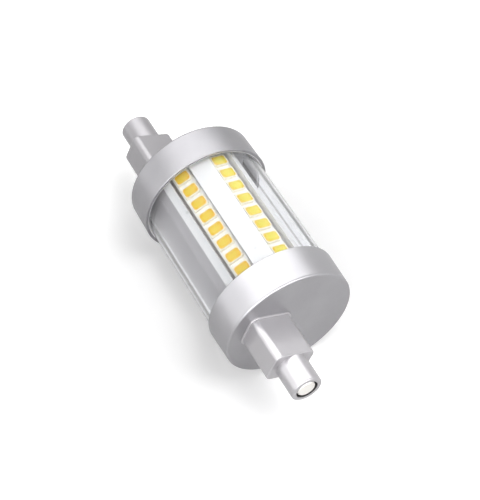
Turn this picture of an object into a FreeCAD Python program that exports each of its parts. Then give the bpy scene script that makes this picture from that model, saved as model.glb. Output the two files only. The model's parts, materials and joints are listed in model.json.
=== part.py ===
import FreeCAD, Part
import Sketcher
import math
import os
import re

# Double-ended linear LED lamp: clear tube, inner LED carrier and two end caps with offset contacts.
# X runs along the tube's axis towards the front end, Z points out of the middle face between the
# two LED boards, and the origin is on the axis at mid-length. Millimetres and degrees.

PARTS_FOLDER = "parts"
SHEET = "Sizes"

# Driving dimensions. Every expression below is written with these names.
SIZES = {
    # Clear tube
    "tube_radius": 13.95,
    "tube_wall": 1.05,
    "tube_length": 42.0,
    # End caps: a cup over the tube's end
    "cap_fit": 0.04,
    "cap_wall": 0.85,
    "cap_skirt": 6.43,
    "cap_face": 1.4,
    "cap_narrowing": 0.19,
    "cap_rim": 0.36,
    # Contact bases: a block on each cap with a round sleeve, both off the tube's axis
    "pin_offset": 5.9,
    "pin_direction": 62.7,
    "neck_width": 7.12,
    "neck_depth": 9.55,
    "neck_shift": 0.17,
    "neck_corner": 1.3,
    "neck_length": 10.2,
    "neck_edge": 0.15,
    "flange_height": 0.35,
    "flange_lip": 0.45,
    "plug_inset": 0.7,
    "plug_corner": 0.6,
    "plug_fit": 0.05,
    "plug_reach": 1.5,
    "snap_height": 0.35,
    "snap_width": 3.0,
    "snap_gap": 0.05,
    "sleeve_radius": 3.4,
    "sleeve_length": 6.4,
    "sleeve_edge": 0.3,
    "recess_radius": 2.35,
    "recess_depth": 1.15,
    # Contacts: a disc in the sleeve's recess on a shank that runs through the base
    "disc_radius": 2.0,
    "disc_height": 1.05,
    "disc_edge": 0.2,
    "shank_radius": 0.75,
    "shank_fit": 0.05,
    "shank_tail": 1.4,
    # Carrier: a hollow white profile with two tilted board seats beside a middle rib
    "carrier_fit": 0.3,
    "carrier_wall": 1.2,
    "rib_width": 4.72,
    "rib_height": 10.9,
    "board_tilt": 17.25,
    "seat_width": 5.05,
    "seat_recess": 1.33,
    "lip_drop": 0.2,
    "shoulder_half": 8.57,
    "shoulder_height": 7.24,
    "foot_drop": 3.2,
    # LED boards and their packages
    "board_gap": 0.2,
    "board_width": 4.25,
    "board_thickness": 1.0,
    "board_end_gap": 1.2,
    "led_margin": 2.9,
    "led_length": 2.8,
    "led_width": 3.5,
    "led_height": 0.7,
    "led_notch": 0.4,
    "cavity_length": 2.3,
    "cavity_width": 3.0,
    "cavity_floor": 0.25,
    "cavity_inset": 0.25,
    "cavity_corner": 0.3,
    # Driver board on rails inside the carrier
    "driver_top": -4.0,
    "driver_thickness": 1.2,
    "driver_side_gap": 0.65,
    "driver_end_gap": 1.2,
    "rail_reach": 1.0,
    "rail_thickness": 1.0,
    "rail_gap": 0.1,
    # Places of the driver board's parts: clear of its ends and rails, and of each other
    "driver_clear_end": 1.7,
    "driver_clear_rail": 0.35,
    "driver_spacing": 1.5,
    "can_across": 2.5,
    "choke_across": 3.5,
    "varistor_across": 4.5,
    # Pins and parts on the driver board
    "pin_radius": 0.3,
    "pin_fit": 0.1,
    "pin_tail": 1.2,
    "pin_pitch": 3.5,
    "can_radius": 3.6,
    "can_height": 8.5,
    "choke_width": 7.3,
    "choke_height": 4.5,
    "choke_corner": 1.2,
    "varistor_radius": 3.2,
    "varistor_thickness": 3.0,
    "varistor_lift": 0.4,
    "fuse_radius": 1.1,
    "fuse_length": 5.9,
    "fuse_waist": 0.1,
    "fuse_cap": 1.0,
    "chip_lift": 0.15,
    "chip_height": 1.6,
    "chip_width": 3.9,
    "leg_thickness": 0.2,
    "leg_width": 0.5,
    "leg_reach": 0.5,
    "leg_foot": 0.5,
    "rectifier_length": 4.8,
    "rectifier_pitch": 2.5,
    "driver_chip_length": 4.9,
    "driver_chip_pitch": 1.27,
    "resistor_length": 3.2,
    "resistor_width": 1.6,
    "resistor_height": 0.6,
    "terminal_length": 0.5,
    "terminal_skin": 0.05,
    # Wires
    "wire_radius": 0.35,
    "wire_fit": 0.1,
    "wire_inset": 0.8,
    "wire_stub": 0.3,
}

LEDS_PER_BOARD = 9

# Legs along each side of the chips
RECTIFIER_LEGS = 2
DRIVER_CHIP_LEGS = 4

# Distances that several pieces share, as expressions of the driving dimensions
HALF_TUBE = "tube_length / 2"
CAP_OUTSIDE = "(tube_length / 2 + cap_face)"
TUBE_BORE = "(tube_radius - tube_wall)"
NECK_END = f"({CAP_OUTSIDE} + neck_length)"
SLEEVE_END = f"({NECK_END} + sleeve_length)"
PLUG_END = "(tube_length / 2 - plug_reach)"
CARRIER_END = PLUG_END
CARRIER_RADIUS = f"({TUBE_BORE} - carrier_fit)"
RIB_HALF = "(rib_width / 2)"
SEAT_DEPTH = "(seat_recess + board_thickness)"
BOARD_MIDDLE = "(board_gap + board_width / 2)"
BOARD_END = f"({CARRIER_END} - board_end_gap)"
WIRE_X = f"({BOARD_END} - wire_inset)"
WIRE_ACROSS = (
    f"({RIB_HALF} + {BOARD_MIDDLE} * cos(board_tilt)"
    " - (seat_recess + board_thickness / 2) * sin(board_tilt))"
)
DRIVER_UNDERSIDE = "(driver_top - driver_thickness)"
DRIVER_END = f"({CARRIER_END} - driver_end_gap)"
DRIVER_EDGE = (
    f"(sqrt(({CARRIER_RADIUS} - carrier_wall) ^ 2 - {DRIVER_UNDERSIDE} ^ 2) - driver_side_gap)"
)
PIN_DEPTH = "(driver_thickness + pin_tail)"
RAIL_EDGE = f"({DRIVER_EDGE} - rail_reach)"
FREE_END = f"({DRIVER_END} - driver_clear_end)"
FREE_EDGE = f"({RAIL_EDGE} - driver_clear_rail)"
CHIP_SIDE = f"(chip_width / 2 + leg_reach + leg_foot - {FREE_EDGE})"

# Where each part stands on the driver board: along X and across it. The low parts keep to one rail.
DRIVER_SPOTS = {
    "capacitor": (f"({FREE_END} - can_radius)", "can_across"),
    "inductor": ("0", "choke_across"),
    "varistor": (f"(varistor_radius - {FREE_END})", "varistor_across"),
    "fusible_resistor": (f"({FREE_END} - fuse_length / 2)", f"(fuse_radius - {FREE_EDGE})"),
    "bridge_rectifier": (f"(rectifier_length / 2 - {FREE_END})", CHIP_SIDE),
    "driver_chip": ("0", CHIP_SIDE),
    "sense_resistor": (
        f"({FREE_END} - fuse_length - driver_spacing - resistor_length / 2)",
        f"(resistor_width / 2 - {FREE_EDGE})",
    ),
}

# Places closer together than this are one place
SAME_PLACE = 0.001

FRONT, REAR = 1, -1
LEFT, RIGHT = -1, 1

doc = FreeCAD.newDocument("LinearLedLamp")
sheet = doc.addObject("Spreadsheet::Sheet", SHEET)
sub_parts = []


def fill_sheet():
    """Write the driving dimensions into the sheet, one aliased cell each."""
    for row, (name, value) in enumerate(SIZES.items(), start=1):
        sheet.set(f"A{row}", name)
        sheet.set(f"B{row}", str(value))
        sheet.setAlias(f"B{row}", name)
    doc.recompute()


def in_cells(expression):
    """Return an expression with each driving dimension's name turned into its cell's reference."""
    return re.sub(
        r"[a-z_]+",
        lambda word: f"{SHEET}.{word.group(0)}" if word.group(0) in SIZES else word.group(0),
        expression,
    )


def number(expression):
    """Return the value of an expression."""
    return float(sheet.evalExpression(in_cells(expression)))


def bind(thing, prop, expression):
    """Tie a property of a document object to an expression."""
    thing.setExpression(prop, in_cells(expression))


def new_body(label, placement=None):
    """Add a sub-part: a body with its label and its placement in the row's frame."""
    body = doc.addObject("PartDesign::Body", label)
    body.Label = label
    body.Placement = placement or FreeCAD.Placement()
    sub_parts.append(body)
    return body


def new_sketch(body, role, offset="0"):
    """Add a sketch on one of the body's origin planes, moved along the plane's normal."""
    plane = next(item for item in body.Origin.OriginFeatures if item.Role == role)
    sketch = body.newObject("Sketcher::SketchObject", f"{body.Name}_sketch")
    sketch.AttachmentSupport = [(plane, "")]
    sketch.MapMode = "FlatFace"
    bind(sketch, ".AttachmentOffset.Base.z", offset)
    return sketch


def fix_point(sketch, geometry, point, across=None, up=None):
    """Hold a point of a sketch at distances from the sketch's origin.

    In a constraint, geometry -1 is the sketch's horizontal axis, which starts at its origin, and
    geometry -2 is its vertical axis.
    """
    for kind, axis, expression in (("DistanceX", -2, across), ("DistanceY", -1, up)):
        if expression is None:
            continue
        if expression == "0":
            sketch.addConstraint(Sketcher.Constraint("PointOnObject", geometry, point, axis))
            continue
        index = sketch.addConstraint(
            Sketcher.Constraint(kind, -1, 1, geometry, point, number(expression))
        )
        bind(sketch, f"Constraints[{index}]", expression)


def draw_outline(sketch, corners, round_bottom=False):
    """Draw straight edges through the corners, closed by a line or by an arc about the origin."""
    points = [FreeCAD.Vector(number(across), number(up)) for across, up in corners]
    last = len(points) - 1
    for index in range(last):
        sketch.addGeometry(Part.LineSegment(points[index], points[index + 1]), False)
    if round_bottom:
        start = math.atan2(points[last].y, points[last].x)
        end = math.atan2(points[0].y, points[0].x)
        circle = Part.Circle(FreeCAD.Vector(), FreeCAD.Vector(0, 0, 1), points[0].Length)
        sketch.addGeometry(Part.ArcOfCircle(circle, start, end), False)
        sketch.addConstraint(Sketcher.Constraint("Coincident", last, 3, -1, 1))
    else:
        sketch.addGeometry(Part.LineSegment(points[last], points[0]), False)
    for index in range(last + 1):
        following = (index + 1) % (last + 1)
        sketch.addConstraint(Sketcher.Constraint("Coincident", index, 2, following, 1))
    for index, (across, up) in enumerate(corners):
        solved_by_arc = round_bottom and index == last
        fix_point(sketch, index, 1, None if solved_by_arc else across, up)


def draw_circle(sketch, radius, across="0", up="0"):
    """Draw a circle of a given radius."""
    centre = FreeCAD.Vector(number(across), number(up))
    circle = Part.Circle(centre, FreeCAD.Vector(0, 0, 1), number(radius))
    geometry = sketch.addGeometry(circle, False)
    fix_point(sketch, geometry, 3, across, up)
    index = sketch.addConstraint(Sketcher.Constraint("Radius", geometry, number(radius)))
    bind(sketch, f"Constraints[{index}]", radius)


def draw_rounded_rectangle(sketch, width, height, corner, up="0"):
    """Draw a rectangle with round corners, centred on the sketch's vertical axis."""
    half_width = f"({width}) / 2 - ({corner})"
    half_height = f"({height}) / 2 - ({corner})"
    reach_across, reach_up = number(half_width), number(half_height)
    radius, middle = number(corner), number(up)
    for quarter, (right, top) in enumerate(((1, 1), (-1, 1), (-1, -1), (1, -1))):
        centre = FreeCAD.Vector(right * reach_across, middle + top * reach_up)
        circle = Part.Circle(centre, FreeCAD.Vector(0, 0, 1), radius)
        start = quarter * math.pi / 2
        sketch.addGeometry(Part.ArcOfCircle(circle, start, start + math.pi / 2), False)
    for quarter in range(4):
        start = sketch.getPoint(quarter, 2)
        end = sketch.getPoint((quarter + 1) % 4, 1)
        sketch.addGeometry(Part.LineSegment(start, end), False)
    for quarter in range(4):
        side = 4 + quarter
        sketch.addConstraint(Sketcher.Constraint("Tangent", quarter, 2, side, 1))
        sketch.addConstraint(Sketcher.Constraint("Tangent", side, 2, (quarter + 1) % 4, 1))
        direction = "Vertical" if quarter % 2 else "Horizontal"
        sketch.addConstraint(Sketcher.Constraint(direction, side))
        if quarter:
            sketch.addConstraint(Sketcher.Constraint("Equal", 0, quarter))
    index = sketch.addConstraint(Sketcher.Constraint("Radius", 0, radius))
    bind(sketch, f"Constraints[{index}]", corner)
    fix_point(sketch, 0, 3, half_width, f"{up} + {half_height}")
    fix_point(sketch, 2, 3, f"-({half_width})", f"{up} - ({half_height})")


def pad(body, sketch, length):
    """Extrude a sketch along its normal."""
    feature = body.newObject("PartDesign::Pad", f"{body.Name}_pad")
    feature.Profile = sketch
    bind(feature, "Length", length)


def pocket(body, sketch, length=None):
    """Cut a sketch against its normal, to a depth or right through."""
    feature = body.newObject("PartDesign::Pocket", f"{body.Name}_pocket")
    feature.Profile = sketch
    if length is None:
        feature.Type = "ThroughAll"
    else:
        bind(feature, "Length", length)


def revolve(body, corners):
    """Turn an outline in the body's XZ plane about its X axis."""
    sketch = new_sketch(body, "XZ_Plane")
    draw_outline(sketch, corners)
    feature = body.newObject("PartDesign::Revolution", f"{body.Name}_turned")
    feature.Profile = sketch
    feature.ReferenceAxis = (sketch, ["H_Axis"])
    feature.Angle = 360


def bevel(body, edges, size):
    """Chamfer the edges of a body's last feature that a test picks."""
    doc.recompute()
    base = body.Tip
    names = [f"Edge{index}" for index, edge in enumerate(base.Shape.Edges, start=1) if edges(edge)]
    feature = body.newObject("PartDesign::Chamfer", f"{body.Name}_bevel")
    feature.Base = (base, names)
    bind(feature, "Size", size)


def round_edge(along, radius):
    """Return a test for the round edge about the X axis at a place along X."""
    place, size = number(along), number(radius)

    def is_wanted(edge):
        if not isinstance(edge.Curve, Part.Circle):
            return False
        moved = abs(edge.Curve.Center.x - place)
        return moved < SAME_PLACE and abs(edge.Curve.Radius - size) < SAME_PLACE

    return is_wanted


def end_edge(along):
    """Return a test for the edges that lie in the plane at a place along X."""
    place = number(along)

    def is_wanted(edge):
        box = edge.BoundBox
        return abs(box.XMin - place) < SAME_PLACE and abs(box.XMax - place) < SAME_PLACE

    return is_wanted


def end_frame(side):
    """Return the frame of an end: X outwards along the tube, Z towards the end's contact."""
    turn = FreeCAD.Rotation(FreeCAD.Vector(1, 0, 0), number("pin_direction"))
    flip = FreeCAD.Rotation(FreeCAD.Vector(0, 0, 1), 0 if side == FRONT else 180)
    return FreeCAD.Placement(FreeCAD.Vector(), turn.multiply(flip))


def pin_frame(side):
    """Return the frame of an end's contact: as the end's, with its X axis on the contact."""
    lift = FreeCAD.Placement(FreeCAD.Vector(0, 0, number("pin_offset")), FreeCAD.Rotation())
    return end_frame(side).multiply(lift)


def seat_frame(side):
    """Return the frame of a board seat: origin on the rib's corner, Z square to the board."""
    corner = FreeCAD.Vector(0, side * number(RIB_HALF), number("rib_height"))
    turn = FreeCAD.Rotation(FreeCAD.Vector(1, 0, 0), -side * number("board_tilt"))
    return FreeCAD.Placement(corner, turn)


def clear_tube():
    """Clear tube that covers the carrier, open at both ends."""
    body = new_body("clear_tube")
    section = new_sketch(body, "YZ_Plane", f"-{HALF_TUBE}")
    draw_circle(section, "tube_radius")
    draw_circle(section, TUBE_BORE)
    pad(body, section, "tube_length")


def end_cap(label, side):
    """Moulded cup over a tube end, its face pierced for the contact base's plug."""
    body = new_body(label, end_frame(side))
    mouth = f"({HALF_TUBE} - cap_skirt)"
    bore = "(tube_radius + cap_fit)"
    mouth_radius = f"({bore} + cap_wall)"
    face_radius = f"({mouth_radius} - cap_narrowing)"
    revolve(body, (
        (CAP_OUTSIDE, "0"),
        (CAP_OUTSIDE, face_radius),
        (mouth, mouth_radius),
        (mouth, bore),
        (HALF_TUBE, bore),
        (HALF_TUBE, "0"),
    ))
    bevel(body, round_edge(CAP_OUTSIDE, face_radius), "cap_rim")
    window = new_sketch(body, "YZ_Plane", CAP_OUTSIDE)
    draw_rounded_rectangle(
        window,
        "neck_width - 2 * plug_inset + 2 * plug_fit",
        "neck_depth - 2 * plug_inset + 2 * plug_fit",
        "plug_corner + plug_fit",
        "pin_offset + neck_shift",
    )
    pocket(body, window)


def block(body, start, length, size):
    """Add a block with rounded corners, in line with the neck: size is width, depth and corner."""
    section = new_sketch(body, "YZ_Plane", start)
    draw_rounded_rectangle(section, *size, "neck_shift")
    pad(body, section, length)


def contact_base(label, side):
    """Moulded block with a flange on the cap, a plug through it and a sleeve for the contact."""
    body = new_body(label, pin_frame(side))
    plug_width = "neck_width - 2 * plug_inset"
    plug_depth = "neck_depth - 2 * plug_inset"
    lip_width = "neck_width + 2 * flange_lip"
    lip_depth = "neck_depth + 2 * flange_lip"
    block(body, CAP_OUTSIDE, "neck_length", ("neck_width", "neck_depth", "neck_corner"))
    bevel(body, end_edge(NECK_END), "neck_edge")
    block(body, CAP_OUTSIDE, "flange_height", (lip_width, lip_depth, "neck_corner + flange_lip"))
    block(body, PLUG_END, "plug_reach + cap_face", (plug_width, plug_depth, "plug_corner"))
    sleeve = new_sketch(body, "YZ_Plane", CAP_OUTSIDE)
    draw_circle(sleeve, "sleeve_radius")
    pad(body, sleeve, "neck_length + sleeve_length")
    recess = new_sketch(body, "YZ_Plane", SLEEVE_END)
    draw_circle(recess, "recess_radius")
    pocket(body, recess, "recess_depth")
    bore = new_sketch(body, "YZ_Plane", SLEEVE_END)
    draw_circle(bore, "shank_radius + shank_fit")
    pocket(body, bore)
    bevel(body, round_edge(SLEEVE_END, "sleeve_radius"), "sleeve_edge")
    for hand in (LEFT, RIGHT):
        snap_hook(body, hand, f"({plug_width}) / 2")


def snap_hook(body, hand, plug_side):
    """Wedge on one side of the plug that catches behind the cap's face."""
    hook = new_sketch(body, "XY_Plane", "neck_shift - snap_width / 2")
    root = f"({hand} * ({plug_side} - snap_height))"
    catch = f"({hand} * ({plug_side} + snap_height))"
    lead = f"({hand} * {plug_side})"
    behind = f"({HALF_TUBE} - snap_gap)"
    draw_outline(hook, ((behind, root), (behind, catch), (PLUG_END, lead), (PLUG_END, root)))
    pad(body, hook, "snap_width")


def contact(label, side):
    """Turned metal contact: a disc in the sleeve's recess on a shank for the lead wire."""
    body = new_body(label, pin_frame(side))
    seat = f"({SLEEVE_END} - recess_depth)"
    top = f"({seat} + disc_height)"
    tail = f"({PLUG_END} - shank_tail)"
    revolve(body, (
        (tail, "0"),
        (tail, "shank_radius"),
        (seat, "shank_radius"),
        (seat, "disc_radius"),
        (top, "disc_radius"),
        (top, "0"),
    ))
    bevel(body, round_edge(top, "disc_radius"), "disc_edge")


def roof_height(across):
    """Return the height of the hollow's sloping roof at a distance from the middle."""
    return (
        f"(rib_height - ({across} - {RIB_HALF}) * tan(board_tilt)"
        f" - ({SEAT_DEPTH} + carrier_wall) / cos(board_tilt))"
    )


def carrier():
    """Hollow profile: middle rib, two board seats with outer lips, side panels and a round back."""
    body = new_body("carrier")
    lip_across = f"({RIB_HALF} + seat_width * cos(board_tilt) - lip_drop * sin(board_tilt))"
    lip_height = "(rib_height - seat_width * sin(board_tilt) - lip_drop * cos(board_tilt))"
    foot_across = f"sqrt({CARRIER_RADIUS} ^ 2 - foot_drop ^ 2)"
    draw_profile(body, (
        (foot_across, "-foot_drop"),
        ("shoulder_half", "shoulder_height"),
        (lip_across, lip_height),
        (RIB_HALF, "rib_height"),
    ))
    hollow_shoulder = "(shoulder_half - carrier_wall)"
    hollow_foot = f"sqrt(({CARRIER_RADIUS} - carrier_wall) ^ 2 - foot_drop ^ 2)"
    draw_profile(body, (
        (hollow_foot, "-foot_drop"),
        (hollow_shoulder, roof_height(hollow_shoulder)),
        ("0", roof_height("0")),
    ), hollow=True)
    for side in (LEFT, RIGHT):
        board_seat(body, side)
        driver_rails(body, side)
        for end in (FRONT, REAR):
            wire_hole(body, side, end)


def draw_profile(body, right_half, hollow=False):
    """Extrude or cut a mirror-symmetric section from its right half, closed by a round back."""
    left_half = [(f"-{across}", up) for across, up in reversed(right_half) if across != "0"]
    start = CARRIER_END if hollow else f"-{CARRIER_END}"
    section = new_sketch(body, "YZ_Plane", start)
    draw_outline(section, (*right_half, *left_half), round_bottom=True)
    if hollow:
        pocket(body, section)
    else:
        pad(body, section, f"2 * {CARRIER_END}")


def board_seat(body, side):
    """Cut the tilted seat of one LED board, between the rib and the lip."""
    seat = new_sketch(body, "YZ_Plane", CARRIER_END)
    bind(seat, ".AttachmentOffset.Base.x", f"{side} * {RIB_HALF}")
    bind(seat, ".AttachmentOffset.Base.y", "rib_height")
    bind(seat, ".AttachmentOffset.Rotation.Angle", f"-{side} * board_tilt")
    outer = f"{side} * seat_width"
    draw_outline(seat, (
        ("0", f"-{SEAT_DEPTH}"),
        (outer, f"-{SEAT_DEPTH}"),
        (outer, SEAT_DEPTH),
        ("0", SEAT_DEPTH),
    ))
    pocket(body, seat)


def driver_rails(body, side):
    """Add the two rails that hold one long edge of the driver board."""
    in_wall = f"({CARRIER_RADIUS} - carrier_wall / 2)"
    upper = ("(driver_top + rail_gap)", "(driver_top + rail_gap + rail_thickness)")
    lower = (f"({DRIVER_UNDERSIDE} - rail_thickness)", DRIVER_UNDERSIDE)
    for bottom, top in (upper, lower):
        rail = new_sketch(body, "YZ_Plane", f"-{CARRIER_END}")
        inner = f"{side} * {RAIL_EDGE}"
        outer = f"{side} * sqrt({in_wall} ^ 2 - {bottom} ^ 2)"
        draw_outline(rail, ((inner, bottom), (outer, bottom), (outer, top), (inner, top)))
        pad(body, rail, f"2 * {CARRIER_END}")


def wire_hole(body, side, end):
    """Drill the seat's floor upright for a wire between an LED board and the inside."""
    hole = new_sketch(body, "XY_Plane", "rib_height")
    draw_circle(hole, "wire_radius + wire_fit", f"{end} * {WIRE_X}", f"{side} * {WIRE_ACROSS}")
    pocket(body, hole, "rib_height")


def led_board(label, side):
    """Aluminium-core board that lies in a seat, with a wire hole at each end."""
    body = new_body(label, seat_frame(side))
    outline = new_sketch(body, "XY_Plane", f"-{SEAT_DEPTH}")
    inner = f"{side} * board_gap"
    outer = f"{side} * (board_gap + board_width)"
    draw_outline(outline, (
        (f"-{BOARD_END}", inner),
        (BOARD_END, inner),
        (BOARD_END, outer),
        (f"-{BOARD_END}", outer),
    ))
    pad(body, outline, "board_thickness")
    slant = "board_thickness / 2 * tan(board_tilt)"
    radius = f"wire_radius / cos(board_tilt) + {slant} + wire_fit"
    for end in (FRONT, REAR):
        hole = new_sketch(body, "XY_Plane")
        draw_circle(hole, radius, f"{end} * {WIRE_X}", f"{side} * {BOARD_MIDDLE}")
        pocket(body, hole)


def led_frame(side, place):
    """Return the frame of one LED package: origin on the board, under the package's middle."""
    pitch = 2 * number(f"{BOARD_END} - led_margin") / (LEDS_PER_BOARD - 1)
    along = (place - (LEDS_PER_BOARD + 1) / 2) * pitch
    across = side * number(BOARD_MIDDLE)
    spot = FreeCAD.Vector(along, across, -number("seat_recess"))
    return seat_frame(side).multiply(FreeCAD.Placement(spot, FreeCAD.Rotation()))


def is_sloping(edge):
    """Tell whether an edge is neither level nor upright in its body's frame."""
    start, end = edge.Vertexes[0].Point, edge.Vertexes[-1].Point
    rise = abs(end.z - start.z)
    return rise > SAME_PLACE and end.distanceToPoint(start) - rise > SAME_PLACE


def draw_cut_rectangle(sketch, width, height, corner):
    """Draw a rectangle with straight-cut corners, centred on the sketch's origin."""
    half_width, half_height = f"({width}) / 2", f"({height}) / 2"
    right_side = (
        (f"{half_width} - {corner}", f"-({half_height})"),
        (half_width, f"-({half_height} - {corner})"),
        (half_width, f"{half_height} - {corner}"),
        (f"{half_width} - {corner}", half_height),
    )
    left_side = [(f"-({across})", up) for across, up in reversed(right_side)]
    draw_outline(sketch, (*right_side, *left_side))


def cavity(body, kind):
    """Add or cut the package's cavity: a wedge that widens upwards, with cut corners."""
    plane = next(item for item in body.Origin.OriginFeatures if item.Role == "XY_Plane")
    wedge = body.newObject(f"PartDesign::{kind}Wedge", f"{body.Name}_cavity")
    wedge.AttachmentSupport = [(plane, "")]
    wedge.MapMode = "FlatFace"
    upright = FreeCAD.Rotation(FreeCAD.Vector(1, 0, 0), 90)
    wedge.AttachmentOffset = FreeCAD.Placement(FreeCAD.Vector(), upright)
    bind(wedge, "Ymin", "cavity_floor")
    bind(wedge, "Ymax", "led_height")
    for axis, size in (("X", "cavity_length"), ("Z", "cavity_width")):
        bind(wedge, f"{axis}min", f"-({size} / 2 - cavity_inset)")
        bind(wedge, f"{axis}max", f"{size} / 2 - cavity_inset")
        bind(wedge, f"{axis}2min", f"-{size} / 2")
        bind(wedge, f"{axis}2max", f"{size} / 2")
    bevel(body, is_sloping, "cavity_corner")


def led_package(label, side, place):
    """Moulded LED housing with a sloping cavity and one cut corner."""
    body = new_body(label, led_frame(side, place))
    outline = new_sketch(body, "XY_Plane")
    end, edge = "led_length / 2", "led_width / 2"
    draw_outline(outline, (
        (f"-{end}", f"-{edge}"),
        (end, f"-{edge}"),
        (end, f"{edge} - led_notch"),
        (f"{end} - led_notch", edge),
        (f"-{end}", edge),
    ))
    pad(body, outline, "led_height")
    cavity(body, "Subtractive")


def phosphor(label, side, place):
    """Yellow phosphor that fills one package's cavity."""
    body = new_body(label, led_frame(side, place))
    cavity(body, "Additive")


def on_driver_board(part):
    """Return the frame of a part on the driver board: origin on the board's top."""
    along, across = DRIVER_SPOTS[part]
    spot = FreeCAD.Vector(number(along), number(across), number("driver_top"))
    return FreeCAD.Placement(spot, FreeCAD.Rotation())


def driver_board():
    """Driver board that slides in the carrier's rails, drilled for the pins of its parts."""
    body = new_body("driver_board")
    outline = new_sketch(body, "XY_Plane", DRIVER_UNDERSIDE)
    draw_outline(outline, (
        (f"-{DRIVER_END}", f"-{DRIVER_EDGE}"),
        (DRIVER_END, f"-{DRIVER_EDGE}"),
        (DRIVER_END, DRIVER_EDGE),
        (f"-{DRIVER_END}", DRIVER_EDGE),
    ))
    pad(body, outline, "driver_thickness")
    for part in ("capacitor", "varistor"):
        along, across = DRIVER_SPOTS[part]
        for hand in (LEFT, RIGHT):
            hole = new_sketch(body, "XY_Plane", "driver_top")
            place = f"{along} + {hand} * pin_pitch / 2"
            draw_circle(hole, "pin_radius + pin_fit", place, across)
            pocket(body, hole)


def stand_on_pins(body, height="0"):
    """Add two straight pins that reach from a part down through the driver board."""
    pins = new_sketch(body, "XY_Plane", f"-{PIN_DEPTH}")
    for hand in (LEFT, RIGHT):
        draw_circle(pins, "pin_radius", f"{hand} * pin_pitch / 2")
    pad(body, pins, f"{PIN_DEPTH} + {height}")


def capacitor():
    """Upright capacitor can on two pins."""
    body = new_body("capacitor", on_driver_board("capacitor"))
    can = new_sketch(body, "XY_Plane")
    draw_circle(can, "can_radius")
    pad(body, can, "can_height")
    stand_on_pins(body)


def inductor():
    """Shielded inductor: a square block with cut corners."""
    body = new_body("inductor", on_driver_board("inductor"))
    outline = new_sketch(body, "XY_Plane")
    draw_cut_rectangle(outline, "choke_width", "choke_width", "choke_corner")
    pad(body, outline, "choke_height")


def varistor():
    """Coated disc that stands on its pins."""
    body = new_body("varistor", on_driver_board("varistor"))
    disc = new_sketch(body, "XZ_Plane", "-varistor_thickness / 2")
    draw_circle(disc, "varistor_radius", "0", "varistor_radius + varistor_lift")
    pad(body, disc, "varistor_thickness")
    stand_on_pins(body, "varistor_radius")


def fusible_resistor():
    """Lying resistor whose raised metal end caps rest on the driver board."""
    frame = on_driver_board("fusible_resistor")
    frame.Base.z += number("fuse_radius")
    body = new_body("fusible_resistor", frame)
    end = "(fuse_length / 2)"
    waist = "(fuse_radius - fuse_waist)"
    revolve(body, (
        (f"-{end}", "0"),
        (f"-{end}", "fuse_radius"),
        (f"-{end} + fuse_cap", "fuse_radius"),
        (f"-{end} + fuse_cap", waist),
        (f"{end} - fuse_cap", waist),
        (f"{end} - fuse_cap", "fuse_radius"),
        (end, "fuse_radius"),
        (end, "0"),
    ))


def chip(part, length, pitch, legs_per_side):
    """Moulded chip with a row of bent legs along each side."""
    body = new_body(part, on_driver_board(part))
    outline = new_sketch(body, "XY_Plane", "chip_lift")
    end, edge = f"{length} / 2", "(chip_width / 2)"
    draw_outline(outline, (
        (f"-{end}", f"-{edge}"),
        (end, f"-{edge}"),
        (end, edge),
        (f"-{end}", edge),
    ))
    pad(body, outline, "chip_height")
    shoulder = "(chip_lift + chip_height / 2)"
    for side in (LEFT, RIGHT):
        root = f"{side} * ({edge} - leg_thickness)"
        inner = f"{side} * ({edge} + leg_reach - leg_thickness)"
        knee = f"{side} * ({edge} + leg_reach)"
        toe = f"{side} * ({edge} + leg_reach + leg_foot)"
        for place in range(legs_per_side):
            start = f"({place} - {(legs_per_side - 1) / 2}) * {pitch} - leg_width / 2"
            leg = new_sketch(body, "YZ_Plane", start)
            draw_outline(leg, (
                (root, shoulder),
                (knee, shoulder),
                (knee, "leg_thickness"),
                (toe, "leg_thickness"),
                (toe, "0"),
                (inner, "0"),
                (inner, f"{shoulder} - leg_thickness"),
                (root, f"{shoulder} - leg_thickness"),
            ))
            pad(body, leg, "leg_width")


def sense_resistor():
    """Flat chip resistor with a metal terminal round each end."""
    body = new_body("sense_resistor", on_driver_board("sense_resistor"))
    half_length, skin = "(resistor_length / 2)", "terminal_skin"
    middle = (f"-{half_length}", half_length, "resistor_width / 2 - terminal_skin", skin)
    blocks = [middle]
    for hand in (LEFT, RIGHT):
        inner = f"{hand} * ({half_length} - terminal_length)"
        blocks.append((inner, f"{hand} * {half_length}", "resistor_width / 2", "0"))
    for start, end, edge, rise in blocks:
        outline = new_sketch(body, "XY_Plane", rise)
        draw_outline(outline, (
            (start, f"-({edge})"),
            (end, f"-({edge})"),
            (end, edge),
            (start, edge),
        ))
        pad(body, outline, f"resistor_height - 2 * {rise}")


def upright_wire(label, along, across, top):
    """Straight wire that stands on the driver board."""
    body = new_body(label)
    section = new_sketch(body, "XY_Plane", "driver_top")
    draw_circle(section, "wire_radius", along, across)
    pad(body, section, f"{top} - driver_top")


def lead_wire(label, end):
    """Wire that lies against the end of a contact's shank."""
    along = f"{end} * ({PLUG_END} - shank_tail - wire_radius)"
    across = "-(pin_offset * sin(pin_direction))"
    upright_wire(label, along, across, "pin_offset * cos(pin_direction) + shank_radius")


def led_wire(label, side, end):
    """Wire that passes up through the carrier and the end of an LED board."""
    board_top = f"rib_height - {BOARD_MIDDLE} * sin(board_tilt) - seat_recess * cos(board_tilt)"
    upright_wire(label, f"{end} * {WIRE_X}", f"{side} * {WIRE_ACROSS}", f"{board_top} + wire_stub")


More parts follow.
